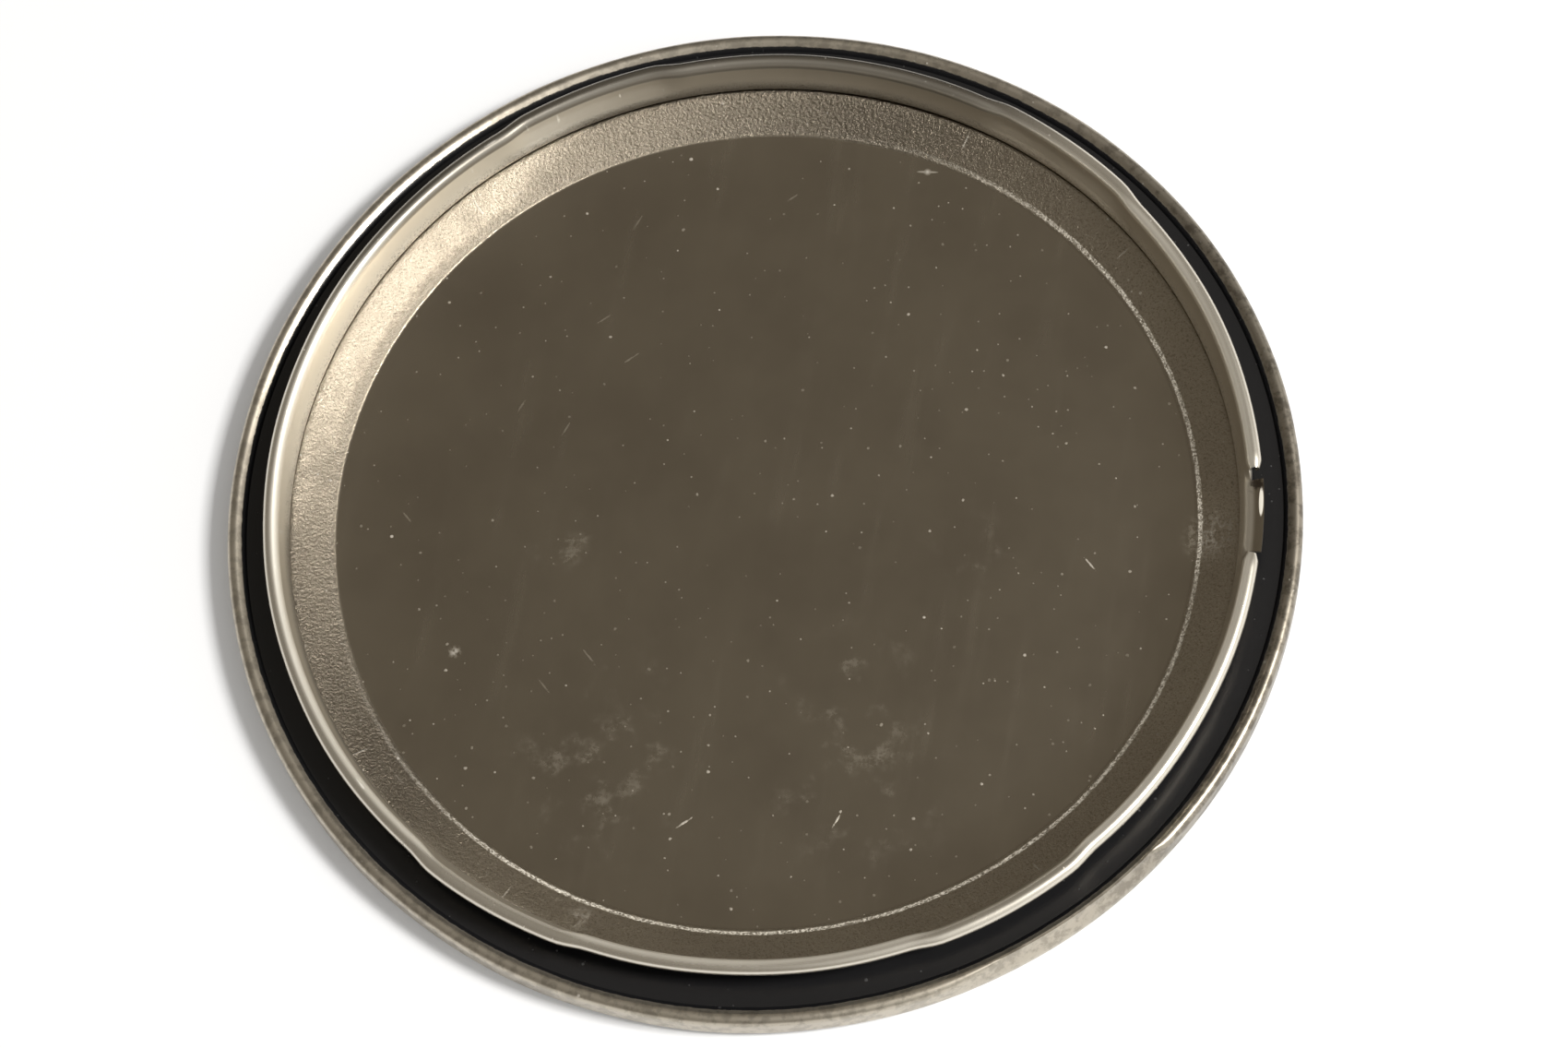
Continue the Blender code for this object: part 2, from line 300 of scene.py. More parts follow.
    def bump(self, height: Value, depth: float) -> None:
        """Raises the surface by a height between 0 and 1, times a depth in millimetres."""
        node = self.node("ShaderNodeBump", {}, {"Height": height, "Distance": depth * MM})
        self.links.new(node.outputs[0], self.shader.inputs["Normal"])


@dataclass(frozen=True)
class Marks:
    """Dust and scratches on bare metal, in millimetres."""

    dust_cell: float = 2.2
    dust_share: float = 0.15
    scratch_angles: tuple[float, ...] = (38.0, 64.0, 131.0)
    scratch_cell: tuple[float, float] = (15.0, 1.8)
    scratch_share: float = 0.07

    def build(self, finish: Finish, at: Any = None) -> Value:
        """Adds the marks to a finish.

        Args:
            finish: the material that they are on.
            at: the coordinates, where they aren't the object's.

        Returns:
            1 on a mark and 0 off it.
        """
        cell = (self.dust_cell,) * 3
        marks = finish.flecks(finish.turned(0.0, cell, at), self.dust_share, 0.055)
        fine = (self.dust_cell / 3,) * 3
        marks = marks.most(finish.flecks(finish.turned(20.0, fine, at), 0.10, 0.10) * 0.7)
        for angle in self.scratch_angles:
            stretch = (*self.scratch_cell, 4.0)
            marks = marks.most(
                finish.flecks(finish.turned(angle, stretch, at), self.scratch_share, 0.042)
            )
        return marks


@dataclass(frozen=True)
class LidFinish:
    """Bare tinplate inside, black lacquer outside, worn through on the rim's crown; the bare metal also
    carries painted highlights and painted shade.
    """

    bare: tuple[float, float, float] = (0.43, 0.38, 0.30)
    dull: tuple[float, float, float] = (0.33, 0.285, 0.225)
    scuffed: tuple[float, float, float] = (0.62, 0.60, 0.56)
    # pale tin for the curl, the bare ring crown and the wall, and for painted highlights on the wall,
    # crease and notch lip
    bright: tuple[float, float, float] = (0.92, 0.88, 0.79)
    speckled: tuple[float, float, float] = (0.12, 0.10, 0.075)
    # dark brown for painted shade on the slope, curl and ring, and for the ring's mottled tarnish
    shaded_and_tarnished: tuple[float, float, float] = (0.11, 0.095, 0.075)
    stained: tuple[float, float, float] = (0.05, 0.035, 0.03)
    lacquer: tuple[float, float, float] = (0.010, 0.010, 0.011)
    panel_radius: float = 28.4
    slope_top: float = 30.9
    lacquer_edge: float = 34.02
    marks: Marks = field(default_factory=Marks)

    def scuffs(self, finish: Finish) -> Value:
        """Soft rubbed patches on the panel and the slope."""
        cloud = finish.noise(2.6, 3.0, 0.6).step(0.50, 0.72)
        zones = finish.spot(-9.0, -18.0, 3.0, 5.0).most(finish.spot(7.5, -18.0, 3.0, 5.0))
        zones = zones.most(finish.spot(-9.0, -11.5, 1.0, 3.5)).most(finish.spot(6.5, -11.5, 2.0, 4.0))
        zones = zones.most(finish.spot(-12.8, -2.4, 0.6, 2.4)).most(finish.spot(14.0, -1.8, 1.6, 2.4))
        rubbed_and_highlight = zones * cloud * finish.noise(0.5, 3.0, 0.7).step(0.35, 0.7) * 0.42
        fan = finish.spot(29.3, -0.4, 0.6, 1.9) * finish.noise(0.35, 3.0, 0.7).step(0.42, 0.68)
        smear = finish.spot(-19.4, -10.2, 0.2, 0.35) * finish.noise(0.3).step(0.35, 0.6)
        patch = finish.spot(-9.5, -28.1, 0.4, 1.0) * finish.noise(0.5, 2.0).step(0.4, 0.7)
        star = finish.spot(9.4, 25.7, 0.10, 0.22).most(finish.oval(9.4, 25.7, 0.7, 0.08) * 0.6)
        return rubbed_and_highlight.most(fan * 0.8).most(smear).most(patch * 0.5).most(star)

    def facing(self, finish: Finish, degrees: float) -> Value:
        """Near 1 on the rim at this angle round the lid, 0 a quarter turn away."""
        turn = math.radians(degrees)
        return (finish.x * math.cos(turn) + finish.y * math.sin(turn)) * (1.0 / self.slope_top)

    def shade_and_tarnish(self, finish: Finish, slope: Value, curl: Value, ring: Value) -> Value:
        """Painted shade: darker slope beside its painted highlight and along its inner edge there, a
        darker curl at the back and a darker ring at the right, with real mottled tarnish along the ring.
        """
        patchy = (finish.noise(3.0, 3.0, 0.6) - 0.5) * 0.3
        rubbed_and_highlight = self.facing(finish, 150.0)
        # painted shade: darkens the slope on both sides of the painted highlight sector round 150
        # degrees
        beside = slope * (1.0 - (rubbed_and_highlight + patchy).step(0.80, 0.97)) * rubbed_and_highlight.step(-0.1, 0.4) * 0.66
        # painted shade: darkens the curl at the back, round 105 degrees
        behind = curl * self.facing(finish, 105.0).step(0.60, 0.85) * 0.8
        mottled = finish.noise(0.9, 3.0, 0.7).step(0.42, 0.62) * 0.35
        # painted shade on the ring's right side, round 5 degrees, plus real mottled tarnish all round
        along = ring * (self.facing(finish, 5.0).step(0.55, 0.95) * 0.5 + mottled)
        # painted shade along the slope's ragged inner edge on the highlight side
        reach = finish.radius() + (finish.noise(0.7, 4.0, 0.7) - 0.5) * 1.5
        fringe = slope * reach.step(29.3, 28.6) * rubbed_and_highlight.step(0.0, 0.6) * 0.6
        return (beside + behind + along).most(fringe)

    def build(self, centre: Vector) -> bpy.types.Material:
        """Makes the material, centred on the lid's axis at its base."""
        finish = Finish("lid_tinplate_finish", centre)
        radius = finish.radius()
        outside = finish.attribute("outside")
        ragged = finish.noise(0.5, 4.0, 0.7) * 0.16 + finish.noise(4.0) * 0.10
        lacquer = outside * (radius + ragged).step(self.lacquer_edge + 0.17, self.lacquer_edge + 0.09)
        grain = finish.noise(0.22, 4.0, 0.72)
        slope = (1.0 - outside) * radius.band(self.panel_radius - 0.1, self.slope_top, 0.25)
        edge = radius + (grain - 0.5) * 0.22 + (finish.noise(1.2) - 0.5) * 0.12
        crease_highlight = (1.0 - outside) * edge.band(self.panel_radius - 0.06, self.panel_radius + 0.12, 0.08)
        lower_right = (finish.x * 0.77 - finish.y * 0.64) * (1.0 / self.panel_radius)
        # painted highlight: the crease at the panel's edge is mixed to pale metal, faded almost out
        # towards the lower right
        crease_highlight = crease_highlight * finish.noise(0.14, 3.0, 0.7).step(0.36, 0.60)
        crease_highlight = crease_highlight * (lower_right.step(-0.7, 0.3) * 0.93 + 0.07)
        wall = (1.0 - outside) * finish.z.step(1.65, 1.9) * radius.step(31.95, 31.6)
        curl = (1.0 - outside) * finish.z.step(3.75, 3.95)
        ring = (1.0 - lacquer) * radius.step(33.6, 33.8)
        lip = finish.oval(31.9, 0.1, 0.62, 3.0) * finish.z.step(2.4, 2.8)
        # painted highlight: a pale, less metallic streak on the notch lip's outer edge
        painted_glint = lip * finish.oval(32.22, 0.95, 0.14, 1.0)
        stain = lip * finish.noise(0.6, 3.0, 0.7).step(0.42, 0.55) * finish.y.step(1.3, 2.1)
        coarse = finish.noise(0.55, 2.0, 0.6)
        haze = finish.noise(1.0, 4.0, 0.65, finish.turned(84.0, (18.0, 2.2, 4.0))).step(0.5, 0.8)
        marks = self.marks.build(finish)
        scuffs = self.scuffs(finish)
        cloud = finish.noise(9.0, 4.0, 0.6)
        tone = finish.mix(cloud.step(0.3, 0.75) * 0.6 + haze * 0.08, self.bare, self.dull)
        tone = finish.mix(slope * 0.30, tone, self.dull)
        # painted highlight: the wall is paler in the sector round 150 degrees, where it reflects the lit
        # slope; the curl and ring crown are paler tin
        rubbed_and_highlight = self.facing(finish, 150.0).step(0.72, 0.94)
        polish_and_painted_highlight = wall * (rubbed_and_highlight * 0.6 + 0.4) + crease_highlight * 0.9 + painted_glint + curl * 0.55 + ring * 0.22
        tone = finish.mix(polish_and_painted_highlight, tone, self.bright)
        # painted shade on the slope, curl and ring, with some real tarnish on the ring
        tone = finish.mix(self.shade_and_tarnish(finish, slope, curl, ring), tone, self.shaded_and_tarnished)
        tone = finish.mix(stain * 0.8, tone, self.stained)
        speck = slope * finish.noise(0.15, 3.0, 0.75).step(0.50, 0.66)
        tone = finish.mix(speck * 0.55, tone, self.speckled)
        tone = finish.mix((scuffs + marks * 0.9).math("MINIMUM", 1.0) * 0.6, tone, self.scuffed)
        worn = marks * 0.35
        black = finish.mix(worn, self.lacquer, (0.20, 0.20, 0.20))
        bare_rough = 0.25 + haze * 0.05 + scuffs * 0.22 + slope * 0.05 + marks * 0.2 + ring * 0.10
        bare_rough = bare_rough + wall * 0.12 + crease_highlight * 0.4
        pale = crease_highlight * 0.6 + painted_glint * 0.9 + wall * 0.14 + curl * 0.12 + ring * 0.1
        lacquer_rough = 0.20 + coarse * 0.08 + marks * 0.3
        finish.set(
            Base_Color=finish.mix(lacquer, tone, black),
            Metallic=(1.0 - lacquer) * (1.0 - (scuffs * 0.5 + marks * 0.7 + pale)).most(0.0),
            Roughness=lacquer * lacquer_rough + (1.0 - lacquer) * bare_rough,
        )
        relief = slope * grain * 3.6 + slope * coarse * 0.9 + haze * 0.1
        relief = relief + marks * 0.5 + coarse * 0.06 + cloud * 0.3 + lacquer * grain * 0.04
        finish.bump(relief, 0.02)
        return finish.material


@dataclass(frozen=True)
class BodyFinish:
    """Gloss black lacquer outside, bare tinplate inside and on the top curl."""

    bare: tuple[float, float, float] = (0.46, 0.42, 0.35)
    lacquer: tuple[float, float, float] = (0.011, 0.011, 0.012)
    curl_foot: float = 16.1
    wall_radius: float = 33.0

    def build(self, centre: Vector) -> bpy.types.Material:
        """Makes the material, centred on the tin's axis at its base."""
        finish = Finish("body_lacquer_finish", centre)
        outside = finish.attribute("outside")
        ragged = finish.noise(0.5, 4.0, 0.7) * 0.25
        rubbed_and_highlight = finish.noise(3.0, 4.0, 0.7).step(0.62, 0.70)
        base_edge = (finish.z + ragged).step(0.55, 0.25) * rubbed_and_highlight
        lacquer = outside * (finish.z + ragged).step(self.curl_foot + 0.12, self.curl_foot - 0.02)
        lacquer = lacquer * (1.0 - base_edge)
        marks = Marks().build(finish, finish.wrapped(self.wall_radius))
        cloud = finish.noise(7.0, 3.0, 0.6)
        tone = finish.mix(cloud * 0.5 + marks * 0.4, self.bare, (0.6, 0.57, 0.52))
        black = finish.mix(marks * 0.3, self.lacquer, (0.2, 0.2, 0.2))
        finish.set(
            Base_Color=finish.mix(lacquer, tone, black),
            Metallic=1.0 - lacquer,
            Roughness=lacquer * 0.20 + (1.0 - lacquer) * (0.28 + cloud * 0.12) + marks * 0.2,
        )
        finish.bump(cloud * 0.3 + marks * 0.5 + finish.noise(0.4) * 0.08, 0.02)
        return finish.material


@dataclass(frozen=True)
class WaxFinish:
    """Black wax: soft sheen, wiped streaks, dry bloom towards the edge."""

    wax: tuple[float, float, float] = (0.014, 0.012, 0.012)
    bloom: tuple[float, float, float] = (0.055, 0.050, 0.048)

    def build(self, centre: Vector) -> bpy.types.Material:
        """Makes the material, centred on the tin's axis at its base."""
        finish = Finish("wax_finish", centre)
        radius = finish.radius()
        streaks = finish.noise(1.0, 4.0, 0.6, finish.turned(25.0, (12.0, 0.5, 2.0)))
        crumbs = finish.noise(0.4, 3.0, 0.7)
        dry = radius.step(21.0, 31.0) * finish.noise(3.0, 4.0, 0.65).step(0.4, 0.7)
        finish.set(
            Base_Color=finish.mix(dry * 0.7 + streaks * 0.12, self.wax, self.bloom),
            Roughness=0.44 + streaks * 0.16 + dry * 0.2,
        )
        finish.bump(streaks * 0.6 + crumbs * 0.35, 0.06)
        return finish.material


@dataclass(frozen=True)
class OpenerFinish:
    """Plated steel, brushed along the strip and scratched."""

    steel: tuple[float, float, float] = (0.62, 0.60, 0.57)

    def build(self, centre: Vector) -> bpy.types.Material:
        """Makes the material, centred on the rivet."""
        finish = Finish("opener_steel_finish", centre)
        brushed = finish.noise(1.0, 3.0, 0.6, finish.turned(0.0, (4.0, 4.0, 0.08)))
        stain = finish.noise(1.8, 3.0, 0.6).step(0.5, 0.8)
        marks = finish.flecks(finish.turned(30.0, (1.6, 0.4, 1.0)), 0.2, 0.12)
        finish.set(
            Base_Color=finish.mix(stain * 0.6, self.steel, (0.34, 0.31, 0.27)),
            Metallic=1.0,
            Roughness=0.24 + brushed * 0.10 + stain * 0.18 + marks * 0.2,
        )
        finish.bump(brushed * 0.3 + marks * 0.6, 0.015)
        return finish.material


def arc(centre: Point, radius: float, start: float, end: float, steps: int) -> list[Point]:
    """Points on an arc of a profile.

    Args:
        centre: its centre.
        radius: its radius.
        start: the first point's angle in degrees, from outwards to upwards.
        end: the last point's angle.
        steps: how many stretches it has.

    Returns:
        The points, as distances from the axis and heights.
    """
    turns = [math.radians(start + (end - start) * i / steps) for i in range(steps + 1)]
    return [(centre[0] + radius * math.cos(a), centre[1] + radius * math.sin(a)) for a in turns]


def line(start: Point, end: Point, steps: int) -> list[Point]:
    """Points on a straight stretch of a profile, without its last point."""
    return [
        (start[0] + (end[0] - start[0]) * i / steps, start[1] + (end[1] - start[1]) * i / steps)
        for i in range(steps)
    ]


def smooth(value: float, low: float, high: float) -> float:
    """A smooth step from 0 at low to 1 at high."""
    t = min(max((value - low) / (high - low), 0.0), 1.0)
    return t * t * (3.0 - 2.0 * t)


def deselect() -> None:
    """Leaves object mode with nothing selected."""
    if bpy.context.object is not None and bpy.context.object.mode != "OBJECT":
        bpy.ops.object.mode_set(mode="OBJECT")
    bpy.ops.object.select_all(action="DESELECT")


def turned(name: str, profile: list[Point], steps: int, close: bool = False) -> bpy.types.Object:
    """Extrudes one vertex along a profile and spins it about the Z axis.

    Args:
        name: the piece's name.
        profile: distances from the axis and heights, in millimetres.
        steps: how many stretches the full turn has.
        close: whether the surface should close on itself, with its faces pointing outwards.

    Returns:
        The object, in object mode, at the origin.
    """
    deselect()
    bpy.ops.mesh.primitive_plane_add(size=MM, location=(0.0, 0.0, 0.0))
    piece = bpy.context.object
    piece.name = name
    bpy.ops.object.mode_set(mode="EDIT")
    bpy.ops.mesh.select_all(action="SELECT")
    bpy.ops.mesh.merge(type="CENTER")
    bpy.ops.transform.translate(value=(profile[0][0] * MM, 0.0, profile[0][1] * MM))
    for before, after in zip(profile, profile[1:]):
        shift = ((after[0] - before[0]) * MM, 0.0, (after[1] - before[1]) * MM)
        bpy.ops.mesh.extrude_region_move(TRANSFORM_OT_translate={"value": shift})
    bpy.ops.mesh.select_all(action="SELECT")
    bpy.ops.mesh.spin(
        steps=steps, angle=math.tau, center=(0.0, 0.0, 0.0), axis=(0.0, 0.0, 1.0)
    )
    bpy.ops.mesh.select_all(action="SELECT")
    bpy.ops.mesh.remove_doubles(threshold=0.002 * MM)
    bpy.ops.mesh.normals_make_consistent(inside=False)
    bpy.ops.object.mode_set(mode="OBJECT")
    return piece


def reshape(piece: bpy.types.Object, move: Callable[[Vector], Vector]) -> None:
    """Moves every vertex of a piece; move takes and gives places in millimetres."""
    for vertex in piece.data.vertices:
        vertex.co = move(vertex.co / MM) * MM


def apply(piece: bpy.types.Object, kind: str, **settings: Any) -> None:
    """Adds a modifier and makes it part of the mesh.

    Args:
        piece: the piece.
        kind: the modifier's type.
        settings: its properties.
    """
    deselect()
    piece.select_set(True)
    bpy.context.view_layer.objects.active = piece
    modifier = piece.modifiers.new(kind.lower(), kind)
    for name, setting in settings.items():
        setattr(modifier, name, setting)
    bpy.ops.object.modifier_apply(modifier=modifier.name)


def make_sheet(piece: bpy.types.Object, thickness: float) -> None:
    """Gives a turned surface its sheet's thickness and marks the face that lies lowest as outside.

    Args:
        piece: the surface.
        thickness: the sheet's thickness in millimetres.
    """
    count = len(piece.data.vertices)
    apply(piece, "SOLIDIFY", thickness=thickness * MM, offset=0.0)
    mesh = piece.data
    middle = min(range(count), key=lambda i: mesh.vertices[i].co.xy.length)
    first_is_low = mesh.vertices[middle].co.z < mesh.vertices[middle + count].co.z
    outside = mesh.attributes.new("outside", "FLOAT", "POINT")
    for index in range(len(mesh.vertices)):
        is_first = index < count
        side = Side.OUTSIDE if is_first == first_is_low else Side.INSIDE
        outside.data[index].value = side.value


def settle(piece: bpy.types.Object, place: Vector, material: bpy.types.Material) -> None:
    """Moves a piece to its place in its mesh, shades it and gives it its material.

    Args:
        piece: the piece, modelled about the origin.
        place: where its origin goes, in metres.
        material: its finish.
    """
    deselect()
    piece.select_set(True)
    bpy.context.view_layer.objects.active = piece
    piece.location = place
    bpy.ops.object.transform_apply(location=True, rotation=True, scale=True)
    bpy.ops.object.shade_smooth_by_angle(angle=math.radians(35))
    piece.data.materials.clear()
    piece.data.materials.append(material)


def report(piece: bpy.types.Object, body: str, node: str) -> None:
    """Ties a piece to the frame and logs it.

    Args:
        piece: the piece.
        body: the body that it rides on.
        node: the CAD node that it stands for.
    """
    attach(piece, body)
    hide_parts(node)
    LOG.info("%s: %d faces on %s", piece.name, len(piece.data.polygons), body)


@dataclass
class Lid:
    """The lid, upside down: panel, slope, hollow rim, skirt and curl, all in millimetres."""

    sheet: float = 0.25
    panel_radius: float = 28.4
    channel_radius: float = 30.9
    channel_z: float = 1.435
    seat_z: float = 1.735
    rim_radius: float = 35.0
    crown_z: float = 2.36
    back_z: float = 0.15
    foot_radius: float = 31.025
    curl_centre: Point = (31.83, 3.9)
    curl_radius: float = 0.375
    lugs: tuple[float, ...] = (54.0, 115.0, 242.5, 302.5)
    lug_proud: float = 0.24
    notch_half: float = 5.4
    end_length: float = 0.9
    steps: int = 400

    def path(self) -> list[Point]:
        """The middle of the sheet, from the panel's centre to the curl's end."""
        half = self.sheet / 2
        wall = self.rim_radius - half
        crown = (wall - 0.38, self.crown_z - half - 0.38)
        back = (wall - 0.34, self.back_z + half + 0.34)
        points = line((0.0, half), (self.panel_radius - 0.25, half), 8)
        points += [(self.panel_radius - 0.25, half), (self.panel_radius - 0.06, half + 0.03)]
        points += line((self.panel_radius + 0.12, half + 0.13), (self.channel_radius - 0.2, 1.36), 6)
        points += [(self.channel_radius - 0.2, 1.36), (self.channel_radius, self.channel_z - 0.01)]
        points += line((self.channel_radius + 0.25, self.channel_z), (33.2, self.channel_z), 3)
        points += [(33.2, self.channel_z), (33.6, self.channel_z - 0.12)]
        points += arc(back, 0.34, 180, 360, 10)
        points += line((wall, back[1] + 0.15), (wall, crown[1]), 5)
        points += arc(crown, 0.38, 0, 120, 11)
        points += [(34.12, 2.075), (33.96, 1.985), (33.87, 1.87), (33.78, self.seat_z + 0.03)]
        points += line((33.6, self.seat_z), (self.foot_radius + 0.25, self.seat_z), 5)
        points += arc((self.foot_radius + 0.22, self.seat_z + 0.22), 0.22, 270, 180, 4)
        points += line((self.foot_radius + 0.03, 2.1), (self.curl_centre[0] - self.curl_radius, 3.75), 6)
        points += arc(self.curl_centre, self.curl_radius, 180, -70, 18)
        return points

    def lug_share(self, degrees: float) -> float:
        """How far a place along the curl belongs to a lug, from 0 to 1."""
        share = 0.0
        for lug in self.lugs:
            away = abs((degrees - lug + 180.0) % 360.0 - 180.0)
            share = max(share, 1.0 - smooth(away, 8.0, 12.0))
        return share

    def move(self, place: Vector) -> Vector:
        """The lugs, the pried rim and the hand of the press.

        Args:
            place: a point of the even turned lid.

        Returns:
            Where it lies on this lid.
        """
        radius = math.hypot(place.x, place.y)
        if radius < self.panel_radius:
            return place
        degrees = math.degrees(math.atan2(place.y, place.x)) % 360.0
        turn = math.radians(degrees)
        grown, height = radius, place.z
        if radius < 32.6 and place.z > self.seat_z:
            rise = smooth(place.z, self.seat_z + 0.3, self.curl_centre[1] - 0.3)
            grown += self.lug_proud * self.lug_share(degrees) * rise
            grown += 0.03 * math.sin(5 * turn + 0.4) * rise + 0.012 * math.sin(17 * turn) * rise
            height += 0.02 * math.sin(4 * turn + 1.0) * rise
        if radius > 33.9:
            outer = smooth(radius, 34.3, 34.9) * smooth(place.z, 0.9, 2.0)
            pried = smooth(degrees, 291.0, 304.0) * (1.0 - smooth(degrees, 318.2, 320.8))
            grown -= 0.42 * outer * pried
            wave = 0.5 + 0.5 * math.sin(6 * turn + 2.0) * math.sin(11 * turn)
            grown -= 0.05 * wave * smooth(radius, 34.2, 34.9)
        share = grown / radius
        return Vector((place.x * share, place.y * share, height))

    def cut_notch(self, piece: bpy.types.Object) -> None:
        """Opens the curl at the notch and flattens what is left into a low flared lip."""
        curl_x, curl_z = self.curl_centre
        half = self.notch_half
        step = 360.0 / self.steps
        lip_end = math.radians(95)
        deselect()
        piece.select_set(True)
        bpy.context.view_layer.objects.active = piece
        bpy.ops.object.mode_set(mode="EDIT")
        bpy.ops.mesh.select_mode(type="FACE")
        bpy.ops.mesh.select_all(action="DESELECT")
        bpy.ops.object.mode_set(mode="OBJECT")
        for face in piece.data.polygons:
            centre = face.center / MM
            degrees = math.degrees(math.atan2(centre.y, centre.x))
            radius = math.hypot(centre.x, centre.y)
            turn = math.atan2(centre.z - curl_z, radius - curl_x)
            beyond = -lip_end < turn < lip_end
            on_curl = radius < 32.7 and centre.z > curl_z - 0.45 and radius > 31.2
            gap = half - step < abs(degrees) < half and centre.z > 3.5
            inside = abs(degrees) < half - step and on_curl and beyond
            face.select = radius < 32.7 and ((gap and radius > 31.0) or inside)
        bpy.ops.object.mode_set(mode="EDIT")
        bpy.ops.mesh.delete(type="FACE")
        bpy.ops.mesh.select_mode(type="VERT")
        bpy.ops.object.mode_set(mode="OBJECT")
        for vertex in piece.data.vertices:
            place = vertex.co / MM
            radius = math.hypot(place.x, place.y)
            degrees = math.degrees(math.atan2(place.y, place.x))
            if not (31.0 < radius < 32.7 and place.z > 2.2):
                continue
            grown, height = radius, place.z
            if abs(degrees) < half - step / 2:
                along = smooth(place.z, 2.2, 4.3)
                grown = radius + 0.62 * along ** 2
                height = 2.2 + (place.z - 2.2) * (1.0 - 0.48 * along)
            elif abs(degrees) < half + self.end_length and place.z > curl_z - 0.45:
                along = (abs(degrees) - half) / self.end_length
                pinch = 0.55 + 0.45 * math.sqrt(max(1.0 - (1.0 - along) ** 2, 0.0))
                grown = curl_x + (radius - curl_x) * pinch
                height = curl_z + (place.z - curl_z) * pinch
            share = grown / radius
            vertex.co = Vector((place.x * share, place.y * share, height)) * MM

    def build(self) -> None:
        """Makes the lid and ties it to the frame."""
        low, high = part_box("tin_lid")
        place = Vector(((low[0] + high[0]) / 2, (low[1] + high[1]) / 2, 0.0))
        piece = turned("lid_pressing", self.path(), self.steps)
        self.cut_notch(piece)
        reshape(piece, self.move)
        make_sheet(piece, self.sheet)
        settle(piece, place, LidFinish().build(place))
        report(piece, "lid", "tin_lid")


@dataclass
class Tin:
    """The body of the tin with its rolled top edge, in millimetres."""

    sheet: float = 0.25
    wall_radius: float = 32.825
    height: float = 17.0
    corner: float = 1.2
    curl_radius: float = 0.475
    bead_radius: float = 25.0
    bead_rise: float = 0.4
    steps: int = 256

    def path(self) -> list[Point]:
        """The middle of the sheet, from the base's centre to the curl's end."""
        half = self.sheet / 2
        curl = (self.wall_radius + self.curl_radius, self.height - half - self.curl_radius - 0.02)
        points = line((0.0, half), (self.bead_radius - 1.1, half), 6)
        points += [(self.bead_radius - 1.1, half), (self.bead_radius - 0.9, half + 0.06)]
        points += arc((self.bead_radius, half + 0.1), 0.3, 130, 50, 4)
        points += [(self.bead_radius + 0.9, half + 0.06), (self.bead_radius + 1.1, half)]
        points += arc(
            (self.wall_radius - self.corner, half + self.corner), self.corner, 270, 360, 7
        )
        points += line((self.wall_radius, 2.0), (self.wall_radius, curl[1] - 0.2), 8)
        points += arc(curl, self.curl_radius, 180, -70, 14)
        return points

    def build(self, rivet: Vector) -> None:
        """Makes the body, with the rivet's hole, and ties it to the frame."""
        low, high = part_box("polish")
        place = Vector(((low[0] + high[0]) / 2, (low[1] + high[1]) / 2, 0.0))
        piece = turned("tin_shell", self.path(), self.steps)
        make_sheet(piece, self.sheet)
        deselect()
        bpy.ops.mesh.primitive_cylinder_add(
            vertices=32,
            radius=1.2 * MM,
            depth=2.4 * MM,
            location=(self.wall_radius * MM, 0.0, rivet.z),
            rotation=(0.0, math.pi / 2, 0.0),
        )
        drill = bpy.context.object
        apply(piece, "BOOLEAN", operation="DIFFERENCE", object=drill, solver="EXACT")
        bpy.data.objects.remove(drill, do_unlink=True)
        settle(piece, place, BodyFinish().build(place))
        report(piece, "tin", "tin_body")


@dataclass
class Polish:
    """The cake of wax, worn to a dish, in millimetres."""

    radius: float = 32.4
    top: float = 9.9
    base: float = 0.95
    dish: float = 1.2
    dish_radius: float = 22.0
    steps: int = 220

    def path(self) -> list[Point]:
        """Down the outer side, from the middle of the top to the middle of the base."""
        count = 26
        points = [
            (r, self.top - self.dish * math.cos(math.pi / 2 * min(r / self.dish_radius, 1.0)) ** 2)
            for r in (self.radius * 0.985 * i / count for i in range(count + 1))
        ]
        points += [(self.radius - 0.15, self.top - 0.1), (self.radius, self.top - 0.4)]
        points += [(self.radius, self.base + 1.2), (self.radius - 1.2, self.base)]
        points += [(self.radius / 2, self.base), (0.0, self.base)]
        return points

    def move(self, place: Vector) -> Vector:
        """Wiping streaks and swirls sunk into the top."""
        radius = math.hypot(place.x, place.y)
        if place.z < self.top - self.dish - 0.3 or radius > self.radius - 0.6:
            return place
        inner = smooth(radius, 31.0, 24.0) if radius > 24.0 else 1.0
        swirl = math.sin(0.55 * radius + 2.0 * math.atan2(place.y, place.x) + 0.6)
        bend = 0.35 * place.x + 2.0 * math.sin(0.21 * place.y)
        streak = math.sin(0.9 * place.y + 3.0 * math.sin(bend)) * math.sin(0.4 * place.x + 1.0)
        sink = (0.10 + 0.07 * swirl + 0.02 * streak) * inner
        return Vector((place.x, place.y, place.z - sink))

    def build(self) -> None:
        """Makes the cake and ties it to the frame."""
        low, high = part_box("polish")
        place = Vector(((low[0] + high[0]) / 2, (low[1] + high[1]) / 2, 0.0))
        piece = turned("wax_cake", self.path(), self.steps)
        reshape(piece, self.move)
        settle(piece, place, WaxFinish().build(place))
        report(piece, "tin", "polish")


@dataclass
class Opener:
    """The twist key, its rivet and its washer, which keep their CAD shapes."""

    nodes: tuple[str, ...] = ("opener_key", "opener_rivet", "opener_washer")

    def build(self) -> Vector:
        """Dresses the three nodes.

        Returns:
            The middle of the rivet, in metres.
        """
        low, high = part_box("opener_rivet")
        middle = (Vector(low) + Vector(high)) / 2
        material = OpenerFinish().build(middle)
        for name in self.nodes:
            node = frame["nodes"][name]
            node.data.materials.clear()
            node.data.materials.append(material)
            LOG.info("%s keeps its frame shape", name)
        return middle


